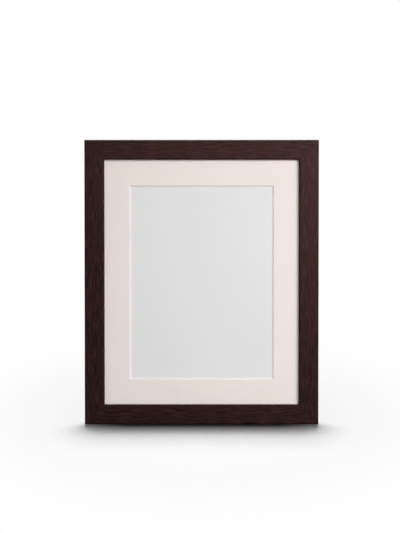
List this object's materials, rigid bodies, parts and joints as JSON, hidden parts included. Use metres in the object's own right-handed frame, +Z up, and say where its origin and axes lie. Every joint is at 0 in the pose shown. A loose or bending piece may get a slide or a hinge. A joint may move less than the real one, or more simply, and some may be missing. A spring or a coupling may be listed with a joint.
{
  "type": "picture frame",
  "caption": "Mitred wooden picture frame with glass, bevelled mat, backing board, turn buttons, a hanging ring and a hinged easel strut, standing.",
  "frame": {"origin": "on the table, at the middle of the standing frame's width and of its depth from the moulding's front bottom edge to the strut's foot", "axes": "+Z up, +X to the viewer's right along the frame's width, and the picture faces -Y, leaning back 14 degrees"},
  "size_m": [0.2352, 0.089, 0.28],
  "materials": {
    "stained_moulding": "dark brown stain, satin, fine grain along each rail",
    "nail_steel": "bare",
    "picture_glass": "clear float glass",
    "mat_board": "matt, warm off-white, with a white core",
    "insert_card": "plain light grey card",
    "fibreboard": "brown hardboard",
    "plated_steel": "zinc plated",
    "brassed_steel": "brass plated"
  },
  "bodies": {
    "frame": {"top_rail": "stained_moulding", "bottom_rail": "stained_moulding", "left_rail": "stained_moulding", "right_rail": "stained_moulding", "corner_nails_bottom_left": "nail_steel", "corner_nails_bottom_right": "nail_steel", "corner_nails_top_left": "nail_steel", "corner_nails_top_right": "nail_steel", "glass": "picture_glass", "mat": "mat_board", "insert_card": "insert_card", "backing_board": "fibreboard", "board_leaf": "plated_steel", "hinge_pin": "plated_steel", "board_rivets": "plated_steel", "button_screws": "plated_steel", "hanger_strap": "plated_steel", "hanger_rivet": "plated_steel"},
    "strut": {"strut_leg": "fibreboard", "strut_leaf": "plated_steel", "strut_rivets": "plated_steel"},
    "ring": {"hanger_ring": "plated_steel"},
    "button_top_left": {"turn_button_top_left": "brassed_steel"},
    "button_top_right": {"turn_button_top_right": "brassed_steel"},
    "button_bottom_left": {"turn_button_bottom_left": "brassed_steel"},
    "button_bottom_right": {"turn_button_bottom_right": "brassed_steel"},
    "button_left_upper": {"turn_button_left_upper": "brassed_steel"},
    "button_left_lower": {"turn_button_left_lower": "brassed_steel"},
    "button_right_upper": {"turn_button_right_upper": "brassed_steel"},
    "button_right_lower": {"turn_button_right_lower": "brassed_steel"}
  },
  "joints": [
    {"name": "strut_hinge", "type": "hinge", "parent": "frame", "child": "strut", "pos_m": [0, 0.01231, 0.17618], "axis": [1, 0, 0], "range_deg": [-24, 0]},
    {"name": "ring_swing", "type": "hinge", "parent": "frame", "child": "ring", "pos_m": [0, 0.02934, 0.24511], "axis": [1, 0, 0], "range_deg": [-16, 166]},
    {"name": "button_top_left_turn", "type": "hinge", "parent": "frame", "child": "button_top_left", "pos_m": [-0.052, 0.03405, 0.26996], "axis": [0, 0.9703, -0.2419], "continuous": true},
    {"name": "button_top_right_turn", "type": "hinge", "parent": "frame", "child": "button_top_right", "pos_m": [0.052, 0.03405, 0.26996], "axis": [0, 0.9703, -0.2419], "continuous": true},
    {"name": "button_bottom_left_turn", "type": "hinge", "parent": "frame", "child": "button_bottom_left", "pos_m": [-0.052, -0.03139, 0.0075], "axis": [0, 0.9703, -0.2419], "range_deg": [-90, 90]},
    {"name": "button_bottom_right_turn", "type": "hinge", "parent": "frame", "child": "button_bottom_right", "pos_m": [0.052, -0.03139, 0.0075], "axis": [0, 0.9703, -0.2419], "range_deg": [-90, 90]},
    {"name": "button_left_upper_turn", "type": "hinge", "parent": "frame", "child": "button_left_upper", "pos_m": [-0.10985, 0.01875, 0.20859], "axis": [0, 0.9703, -0.2419], "continuous": true},
    {"name": "button_left_lower_turn", "type": "hinge", "parent": "frame", "child": "button_left_lower", "pos_m": [-0.10985, -0.01609, 0.06887], "axis": [0, 0.9703, -0.2419], "continuous": true},
    {"name": "button_right_upper_turn", "type": "hinge", "parent": "frame", "child": "button_right_upper", "pos_m": [0.10985, 0.01875, 0.20859], "axis": [0, 0.9703, -0.2419], "continuous": true},
    {"name": "button_right_lower_turn", "type": "hinge", "parent": "frame", "child": "button_right_lower", "pos_m": [0.10985, -0.01609, 0.06887], "axis": [0, 0.9703, -0.2419], "continuous": true}
  ]
}
